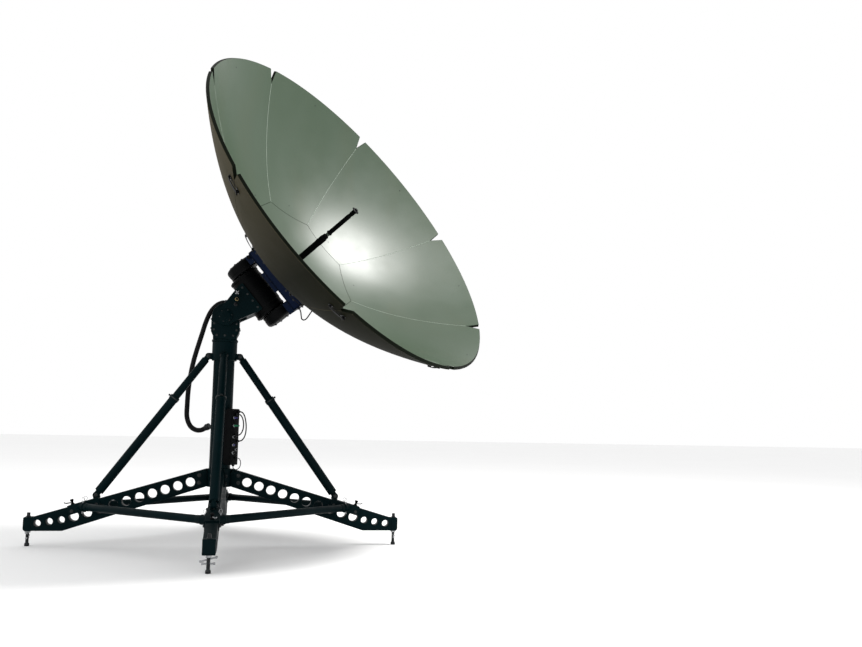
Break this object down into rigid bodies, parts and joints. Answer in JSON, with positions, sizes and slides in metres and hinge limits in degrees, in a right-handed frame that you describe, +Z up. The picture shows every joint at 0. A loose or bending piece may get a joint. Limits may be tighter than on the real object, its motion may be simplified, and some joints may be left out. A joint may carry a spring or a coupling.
{
  "type": "satellite tracking antenna",
  "caption": "Portable satellite tracking antenna: a petalled dish with a central feed on a tilting cross-axis mount, over a column with drilled legs, braces and ring tubes.",
  "frame": {"origin": "middle of the bounding box in plan, on the ground under the feet", "axes": "+Z up; +X towards the right leg; +Y towards the back leg, away from the side that the dish leans to"},
  "size_m": [2.8748, 2.6538, 3.144],
  "materials": {
    "teal_paint": "satin",
    "blue_paint": "satin",
    "black_paint": "satin",
    "black_rubber": "matte",
    "dish_paint": "satin"
  },
  "bodies": {
    "stand": {"column": "teal_paint", "base_hub": "teal_paint", "brace_crown": "teal_paint", "outrigger_right": "teal_paint", "jack_right": "teal_paint", "ring_clamp_right": "teal_paint", "brace_upper_right": "teal_paint", "brace_lower_right": "teal_paint", "outrigger_back": "teal_paint", "jack_back": "teal_paint", "ring_clamp_back": "teal_paint", "brace_upper_back": "teal_paint", "brace_lower_back": "teal_paint", "outrigger_left": "teal_paint", "jack_left": "teal_paint", "ring_clamp_left": "teal_paint", "brace_upper_left": "teal_paint", "brace_lower_left": "teal_paint", "outrigger_front": "teal_paint", "jack_front": "teal_paint", "ring_clamp_front": "teal_paint", "brace_upper_front": "teal_paint", "brace_lower_front": "teal_paint", "ring_tube_right_back": "teal_paint", "ring_tube_back_left": "teal_paint", "ring_tube_left_front": "teal_paint", "ring_tube_front_right": "teal_paint", "head_block": "teal_paint", "x_drive_cover": "teal_paint", "conduit": "black_rubber", "box_lead_outer": "black_rubber", "box_lead_inner": "black_rubber", "box_lead_lower": "black_rubber", "conduit_gland_upper": "black_paint", "conduit_gland_lower": "black_paint", "junction_box": "black_paint"},
    "arm": {"x_arm": "teal_paint", "x_bearing_cap": "teal_paint", "y_drive_housing": "black_paint"},
    "dish": {"y_end_housing_upper": "black_paint", "y_end_housing_lower": "black_paint", "dish_bracket": "blue_paint", "hub_panel": "dish_paint", "petal_1": "dish_paint", "petal_2": "dish_paint", "petal_3": "dish_paint", "petal_4": "dish_paint", "petal_5": "dish_paint", "petal_6": "dish_paint", "petal_7": "dish_paint", "petal_8": "dish_paint", "feed_mast": "black_paint", "feed_tube": "black_paint", "bracket_lead": "black_rubber"}
  },
  "joints": [
    {"name": "lower_axis", "type": "hinge", "parent": "stand", "child": "arm", "pos_m": [-0.27111, 0.16064, 1.467], "axis": [0, 1, 0], "range_deg": [-134.8, 35.2]},
    {"name": "upper_axis", "type": "hinge", "parent": "arm", "child": "dish", "pos_m": [-0.04823, 0.16064, 1.65534], "axis": [0.6455, 0, -0.7638], "range_deg": [-116.6, 53.4]}
  ]
}
